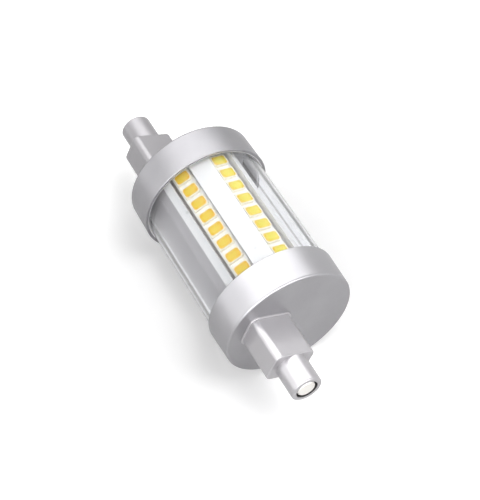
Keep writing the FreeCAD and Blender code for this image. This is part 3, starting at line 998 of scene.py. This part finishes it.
@dataclass(frozen=True)
class PaperFinish(Finish):
    """White paper that glows where the camera, glass or gloss sees it, and that is clear from below.

    The glow that the camera sees grows to full white away from the lamp, so that the lamp's shadow
    stays. The paper is as rough as the finish's high limit.
    """

    fibre_scale: float = 40.0
    fibre_detail: float = 2.0
    glow: float = 0.21
    glow_behind: float = 0.25
    glow_mirrored: float = 0.15
    glow_spread: tuple[float, float] = (22.0, 90.0)

    def _dress(self, surface: Surface) -> None:
        """Feed the shader's colour, roughness and glow.

        Args:
            surface: The material's nodes.
        """
        surface.feed(Roughness=self.high, Base_Color=self._color(surface))
        surface.feed(Emission_Color=WHITE_LIGHT, Emission_Strength=self._glow(surface))

    def _color(self, surface: Surface) -> Socket:
        """Return the two tones of the paper's fibres.

        Args:
            surface: The material's nodes.

        Returns:
            The colour.
        """
        fibres = surface.add(
            "TexNoise", Vector=surface.place, Scale=self.fibre_scale, Detail=self.fibre_detail
        )
        return surface.mix(fibres.outputs[0], self.first, self.second)

    def _glow(self, surface: Surface) -> Socket:
        """Return the strength of the glow, by what looks at the paper and how far off it is.

        Args:
            surface: The material's nodes.

        Returns:
            The strength.
        """
        path = surface.add("LightPath").outputs
        start, end = self.glow_spread
        away = surface.between(surface.length(surface.place), start * MM, end * MM)
        glow = surface.math("ADD", self.glow, surface.math("MULTIPLY", away, 1.0 - self.glow))
        direct = surface.math("MULTIPLY", path["Is Camera Ray"], glow)
        behind = surface.math("MULTIPLY", path["Is Transmission Ray"], self.glow_behind)
        far_off = surface.math("MULTIPLY", away, self.glow_mirrored)
        mirrored = surface.math("MULTIPLY", path["Is Glossy Ray"], far_off)
        return surface.math("MAXIMUM", direct, surface.math("MAXIMUM", behind, mirrored))

    def _cover(self, surface: Surface) -> Socket:
        """Return the shader, opened for what looks at the paper from below."""
        below = surface.add("NewGeometry").outputs["Backfacing"]
        return surface.opened(surface.shader.outputs[0], below)


GREY_SATIN = LinedFinish(
    "silver_grey_satin",
    tone(165, 164, 167),
    tone(159, 158, 161),
    low=0.36,
    high=0.44,
    metallic=0.8,
    inside=tone(240, 240, 241),
)
GREY_MOULDING = RecessShadeFinish(
    "grey_moulding",
    tone(184, 182, 185),
    tone(178, 176, 179),
    low=0.3,
    high=0.38,
    metallic=0.5,
    coat=0.25,
    # Painted shade for the recess round each contact.
    recess=tone(70, 68, 70),
)
CAP_FINISHES = {
    End.FRONT: GREY_SATIN,
    # Painted shade: the rear cap is the same satin in deeper tones, standing in for the dimmer light at the
    # rear end.
    End.REAR: replace(
        GREY_SATIN, name="silver_grey_satin_rear_shaded", first=tone(154, 153, 156), second=tone(148, 147, 150)
    ),
}
BASE_FINISHES = {
    End.FRONT: GREY_MOULDING,
    # Painted shade: the rear base is the same moulding in deeper tones, standing in for the dimmer light at
    # the rear end.
    End.REAR: replace(
        GREY_MOULDING, name="grey_moulding_rear_shaded", first=tone(159, 157, 160), second=tone(153, 151, 154)
    ),
}
# Painted light: one phosphor in two tones, warmer on the left column and more lemon on the right, standing
# in for the different light and reflections on the two tilted columns.
WARM_PHOSPHOR = PhosphorFinish(
    "phosphor_warm",
    tone(246, 216, 84),
    tone(244, 208, 74),
    low=0.5,
    high=0.65,
    specular=0.1,
    edge=tone(246, 192, 62),
    side=Side.LEFT,
)
LEMON_PHOSPHOR = replace(
    WARM_PHOSPHOR,
    name="phosphor_lemon",
    first=tone(240, 226, 82),
    second=tone(236, 218, 70),
    edge=tone(240, 204, 62),
    side=Side.RIGHT,
)
PHOSPHOR_FINISHES = {Side.LEFT: WARM_PHOSPHOR, Side.RIGHT: LEMON_PHOSPHOR}
FINISHES = {
    "tube_clear": ClearFinish(
        "clear_moulding",
        tone(252, 253, 255),
        tone(248, 250, 252),
        low=0.01,
        high=0.04,
        grain_scale=300,
        grain_depth=0.02,
    ),
    "cap_grey": GREY_SATIN,
    "base_grey": GREY_MOULDING,
    "contact_metal": Finish(
        "contact_nickel",
        tone(250, 248, 244),
        tone(243, 240, 235),
        low=0.3,
        high=0.42,
        metallic=0.5,
        grain_depth=0.2,
    ),
    "carrier_white": PaintedShadeFinish(
        "white_moulding_with_painted_shade",
        tone(243, 243, 243),
        tone(238, 238, 239),
        speck=tone(218, 218, 217),
        speck_scale=260,
        # The flank and groove tones are painted shade.
        flank=tone(176, 173, 176),
        paste=tone(184, 180, 178),
    ),
    "board_white": Finish(
        "white_solder_mask", tone(243, 243, 241), tone(238, 238, 236), low=0.3, high=0.42, coat=0.1
    ),
    "led_housing": Finish(
        "cream_housing", tone(248, 242, 222), tone(246, 238, 214), low=0.4, high=0.55, specular=0.3
    ),
    "driver_laminate": DustedFinish(
        "green_laminate",
        tone(38, 112, 62),
        tone(32, 102, 56),
        coat=0.3,
        speck=tone(190, 190, 180),
        speck_scale=420,
    ),
    "can_metal": Finish("aluminium_can", tone(190, 190, 194), tone(178, 178, 182), metallic=1.0),
    "winding": Finish("ferrite_block", tone(44, 43, 42), tone(34, 33, 33), low=0.5, high=0.65),
    "varistor_coat": Finish(
        "blue_epoxy", tone(42, 84, 152), tone(36, 74, 138), low=0.25, high=0.4, coat=0.2
    ),
    "resistor_coat": Finish(
        "grey_green_coat", tone(120, 142, 126), tone(108, 130, 114), low=0.3, high=0.45
    ),
    "chip_black": DustedFinish(
        "moulding_compound",
        tone(34, 34, 36),
        tone(26, 26, 28),
        low=0.45,
        high=0.6,
        speck=tone(70, 70, 70),
        speck_scale=1500,
    ),
    "wire_skin": Finish(
        "white_insulation", tone(236, 236, 230), tone(228, 228, 222), low=0.4, high=0.55
    ),
}
FLOOR_PAPER = PaperFinish("white_floor", tone(241, 241, 241), tone(239, 239, 239), high=0.9, specular=0.1)


class Wardrobe:
    """The finishes of this lamp, each built once and kept by name."""

    def __init__(self) -> None:
        """Start with the shared effects and no material."""
        self.effects = SharedEffects()
        self.made: dict[str, Material] = {}

    def take(self, finish: Finish) -> Material:
        """Return the material of a finish, built at its first use.

        Args:
            finish: The finish.

        Returns:
            Its material.
        """
        if finish.name not in self.made:
            self.made[finish.name] = finish.build(self.effects)
        return self.made[finish.name]

    def dress(self, piece: Piece, finish: Finish) -> None:
        """Give a new piece its finish all over."""
        piece.data.materials.clear()
        piece.data.materials.append(self.take(finish))


@dataclass
class Part:
    """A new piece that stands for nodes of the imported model."""

    wardrobe: Wardrobe

    def fit(self, piece: Piece, slot: str, nodes: list[str], finish: Finish) -> None:
        """Dress a piece, tie it to the lamp's body and let it stand for its nodes.

        Args:
            piece: The finished piece.
            slot: The record's material slot; not used.
            nodes: Nodes that the piece stands for.
            finish: The piece's finish.
        """
        self.wardrobe.dress(piece, finish)
        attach(piece, BODY)
        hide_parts(*nodes)
        LOG.info("%s: %d faces, stands for %s", piece.name, len(piece.data.polygons), ", ".join(nodes))


@dataclass
class ClearTube(Part):
    """The clear tube, open at both ends."""

    radius: float = 13.95
    wall: float = 1.05
    half: float = TUBE_HALF
    edge: float = 0.15
    edge_facets: int = 2
    sides: int = 240

    def build(self) -> None:
        """Model the tube from a rod that is opened at its ends and given its wall."""
        tube = Bench.rod("clear_tube_shell", self.radius, -self.half, self.half, self.sides)
        Bench.faces(tube, lambda face: abs(face.normal.dot(AHEAD)) > SAME_WAY)
        bpy.ops.mesh.delete(type="ONLY_FACE")
        Bench.modify(tube, "SOLIDIFY", thickness=self.wall * MM, offset=-1.0, use_even_offset=True)
        for end in (-self.half, self.half):
            Bench.round_off(tube, across(end), self.edge, self.edge_facets)
        Bench.smooth(tube)
        self.fit(tube, "tube_clear", ["clear_tube"], FINISHES["tube_clear"])


@dataclass
class EndCaps(Part):
    """The two moulded cups over the tube's ends."""

    mouth: float = 14.57
    seat: float = TUBE_HALF
    face: float = CAP_FACE
    radius: float = 14.84
    narrowing: float = 0.19
    wall: float = 0.85
    rim: float = 0.45
    rim_facets: int = 5
    lip: float = 0.18
    lip_facets: int = 3
    window_width: float = 5.82
    window_depth: float = 8.25
    window_lift: float = 6.07
    window_corner: float = 0.65
    window_facets: int = 4
    cutter_reach: float = 1.0
    sides: int = 192

    def build(self) -> None:
        """Model the front cap, copy it to both ends and fit the copies."""
        cap = self._cup()
        self._pierce(cap)
        Bench.smooth(cap)
        for end in End:
            twin = Bench.copy(cap, f"{end.label}_cap_shell", end.stance)
            self.fit(twin, "cap_grey", [f"{end.label}_end_cap"], CAP_FINISHES[end])
        bpy.data.objects.remove(cap)

    def _cup(self) -> Piece:
        """Shape a rod to a cup: narrower towards its face, hollow behind it and round at its rims.

        Returns:
            The cup.
        """
        cup = Bench.rod("cap_cup", self.radius, self.mouth, self.face, self.sides)
        narrow = 1 - self.narrowing / self.radius
        Bench.faces(cup, looking(AHEAD, self.face))
        bpy.ops.transform.resize(value=(1, narrow, narrow), center_override=(self.face * MM, 0, 0))
        Bench.hollow(cup, looking(-AHEAD, self.mouth), self.wall, self.seat - self.mouth)
        Bench.round_off(cup, across(self.face), self.rim, self.rim_facets)
        Bench.round_off(cup, across(self.mouth), self.lip, self.lip_facets)
        return cup

    def _pierce(self, cup: Piece) -> None:
        """Cut the window for the contact base's plug through the cup's face.

        Args:
            cup: The cup.
        """
        start, end = self.seat - self.cutter_reach, self.face + self.cutter_reach
        cutter = Bench.block(
            "cap_window", start, end, self.window_width, self.window_depth, self.window_lift
        )
        Bench.round_off(cutter, along, self.window_corner, self.window_facets)
        Bench.combine(cup, cutter, "DIFFERENCE")


@dataclass
class ContactBases(Part):
    """The two blocks on the caps, each with a flange, a plug and a round sleeve."""

    face: float = CAP_FACE
    lift: float = CONTACT_LIFT
    shift: float = 0.17
    width: float = 7.12
    depth: float = 9.55
    corner: float = 1.3
    corner_facets: int = 8
    neck_end: float = 32.6
    neck_edge: float = 0.3
    flange: float = 0.35
    flange_lip: float = 0.45
    flange_edge: float = 0.2
    edge_facets: int = 3
    plug_end: float = 19.5
    plug_inset: float = 0.7
    plug_corner: float = 0.6
    plug_root: float = 0.1
    sleeve: float = 3.4
    sleeve_root: float = 1.0
    sleeve_end: float = 39.0
    sleeve_edge: float = 0.35
    sleeve_facets: int = 4
    recess: float = 2.35
    recess_depth: float = 1.15
    recess_edge: float = 0.12
    recess_facets: int = 2
    bore: float = 0.8
    bore_sides: int = 32
    cutter_reach: float = 1.0
    sides: int = 96

    def build(self) -> None:
        """Model the front base, copy it to both ends and fit the copies."""
        base = self._neck()
        for piece in (self._flange(), self._plug(), self._sleeve()):
            Bench.combine(base, piece, "UNION")
        Bench.combine(base, self._bore(), "DIFFERENCE")
        Bench.smooth(base)
        for end in End:
            twin = Bench.copy(base, f"{end.label}_base_shell", end.stance)
            self.fit(twin, "base_grey", [f"{end.label}_contact_base"], BASE_FINISHES[end])
        bpy.data.objects.remove(base)

    def _slab(self, name: str, start: float, end: float, grow: float, corner: float) -> Piece:
        """Add a block in line with the neck.

        Args:
            name: Name of the block.
            start: Lower X.
            end: Upper X.
            grow: How far its sides stand outside the neck's.
            corner: Radius of its edges along X.

        Returns:
            The block.
        """
        width, depth = self.width + 2 * grow, self.depth + 2 * grow
        slab = Bench.block(name, start, end, width, depth, self.lift + self.shift)
        Bench.round_off(slab, along, corner, self.corner_facets)
        return slab

    def _neck(self) -> Piece:
        """Model the block with its softened end.

        Returns:
            The block.
        """
        neck = self._slab("neck", self.face, self.neck_end, 0, self.corner)
        Bench.round_off(neck, across(self.neck_end), self.neck_edge, self.edge_facets)
        return neck

    def _flange(self) -> Piece:
        """Model the thin flange on the cap's face.

        Returns:
            The flange.
        """
        top = self.face + self.flange
        flange = self._slab("flange", self.face, top, self.flange_lip, self.corner + self.flange_lip)
        Bench.round_off(flange, across(top), self.flange_edge, self.edge_facets)
        return flange

    def _plug(self) -> Piece:
        """Model the plug that goes through the cap's face."""
        root = self.face + self.plug_root
        return self._slab("plug", self.plug_end, root, -self.plug_inset, self.plug_corner)

    def _sleeve(self) -> Piece:
        """Model the round sleeve with the recess for the contact.

        Returns:
            The sleeve.
        """
        root, tip = self.neck_end - self.sleeve_root, self.sleeve_end
        sleeve = Bench.rod("sleeve", self.sleeve, root, tip, self.sides, self.lift)
        Bench.hollow(sleeve, looking(AHEAD, tip), self.sleeve - self.recess, -self.recess_depth)
        outer, inner = across(tip, self.sleeve, self.lift), across(tip, self.recess, self.lift)
        Bench.round_off(sleeve, outer, self.sleeve_edge, self.sleeve_facets)
        Bench.round_off(sleeve, inner, self.recess_edge, self.recess_facets)
        return sleeve

    def _bore(self) -> Piece:
        """Model the rod that cuts the bore for the contact's shank."""
        start = self.plug_end - self.cutter_reach
        return Bench.rod("shank_bore", self.bore, start, self.sleeve_end, self.bore_sides, self.lift)


class PackedNodes:
    """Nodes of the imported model, which keep their shape. Some have a new piece that stands for them."""

    def __init__(self, wardrobe: Wardrobe) -> None:
        """Keep the finishes at hand."""
        self.wardrobe = wardrobe

    def build(self) -> None:
        """Give every node the finish of its slot, and the phosphors that of their side."""
        for part in frame["record"]["subparts"]:
            name, slot = part["node"], part["material_slot"]
            finish = self._phosphor(name) if slot == "phosphor" else FINISHES[slot]
            for place in frame["nodes"][name].material_slots:
                place.material = self.wardrobe.take(finish)
            LOG.info("%s: finish %s", name, finish.name)

    @staticmethod
    def _phosphor(name: str) -> PhosphorFinish:
        """Return the finish of a phosphor by the side that its node's name gives."""
        return PHOSPHOR_FINISHES[Side[name.split("_")[1].upper()]]


@dataclass(frozen=True)
class SoftLamp:
    """A rectangular lamp that points at the origin. Its place is in millimetres, its size in metres."""

    name: str
    place: tuple[float, float, float]
    width: float
    height: float
    power: float
    reach: Reach

    def build(self) -> None:
        """Hang the lamp."""
        data = bpy.data.lights.new(self.name, "AREA")
        data.shape = "RECTANGLE"
        data.size, data.size_y = self.width, self.height
        data.energy = self.power
        lamp = bpy.data.objects.new(self.name, data)
        bpy.context.collection.objects.link(lamp)
        lamp.location = Vector(self.place) * MM
        lamp.rotation_euler = (-lamp.location).to_track_quat("-Z", "Y").to_euler()
        lamp.visible_diffuse = self.reach is not Reach.GLOSS
        lamp.visible_glossy = self.reach is not Reach.MATT
        LOG.info("%s: %.1f W", self.name, self.power)


LAMPS = (
    SoftLamp("key_lamp", (190.0, 150.0, 540.0), width=0.26, height=0.26, power=1.6, reach=Reach.MATT),
    SoftLamp("front_lamp", (400.0, -120.0, 370.0), width=0.4, height=0.4, power=0.45, reach=Reach.MATT),
    SoftLamp("side_lamp", (110.0, -430.0, 330.0), width=0.5, height=0.3, power=0.85, reach=Reach.MATT),
    SoftLamp("fill_lamp", (100.0, 450.0, 240.0), width=0.5, height=0.3, power=0.7, reach=Reach.MATT),
    SoftLamp("sheen_lamp", (-235.0, -40.0, 490.0), width=1.7, height=0.32, power=6.0, reach=Reach.GLOSS),
    SoftLamp("flank_lamp", (-260.0, -560.0, 60.0), width=0.3, height=0.4, power=0.7, reach=Reach.GLOSS),
    SoftLamp("rim_lamp", (440.0, -60.0, 270.0), width=1.1, height=0.34, power=7.0, reach=Reach.GLOSS),
)


@dataclass
class Studio:
    """Pale floor, plain lamps, surroundings and the camera. Places are millimetres, the roll is degrees."""

    wardrobe: Wardrobe
    floor_level: float = -14.84
    floor_size: float = 6000.0
    camera: tuple[float, float, float] = (160.341, -67.513, 251.465)
    aim: tuple[float, float, float] = (0.749, 0.025, -0.468)
    roll: float = -6.4846
    lens: float = 102.77
    ambient: float = 0.29

    def build(self) -> None:
        """Set up everything round the lamp."""
        self._floor()
        self._surroundings()
        for lamp in LAMPS:
            lamp.build()
        self._camera()

    def _floor(self) -> None:
        """Lay the floor, which shows white apart from the lamp's shadow."""
        Bench.clear()
        bpy.ops.mesh.primitive_plane_add(size=self.floor_size * MM, location=(0, 0, self.floor_level * MM))
        floor = Bench.settle(bpy.context.object, "floor")
        self.wardrobe.dress(floor, FLOOR_PAPER)

    def _surroundings(self) -> None:
        """Build the world: white where it is seen or mirrored, softer where it lights."""
        world = bpy.data.worlds.new("studio")
        bpy.context.scene.world = world
        world.use_nodes = True
        nodes = Nodes(world.node_tree)
        matt = nodes.add("LightPath").outputs["Is Diffuse Ray"]
        strength = nodes.add("MapRange", Value=matt, To_Min=1.0, To_Max=self.ambient)
        background = nodes.add("Background", Color=WHITE_LIGHT, Strength=strength.outputs[0])
        nodes.add("OutputWorld", Surface=background.outputs[0])

    def _camera(self) -> None:
        """Set the camera at the photograph's viewing angle."""
        data = bpy.data.cameras.new("view")
        data.lens = self.lens
        camera = bpy.data.objects.new("view", data)
        bpy.context.collection.objects.link(camera)
        camera.location = Vector(self.camera) * MM
        sight = Vector(self.aim) * MM - camera.location
        turn = Quaternion((0, 0, 1), math.radians(self.roll))
        camera.rotation_euler = (sight.to_track_quat("-Z", "Y") @ turn).to_euler()
        bpy.context.scene.camera = camera


def main() -> None:
    """Build the lamp's pieces, dress its nodes and set up the studio."""
    logging.basicConfig(level=logging.INFO, format="%(message)s")
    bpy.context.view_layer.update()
    bpy.context.scene.view_settings.view_transform = "Standard"
    wardrobe = Wardrobe()
    PackedNodes(wardrobe).build()
    ClearTube(wardrobe).build()
    EndCaps(wardrobe).build()
    ContactBases(wardrobe).build()
    Studio(wardrobe).build()


if __name__ == "__main__":
    main()
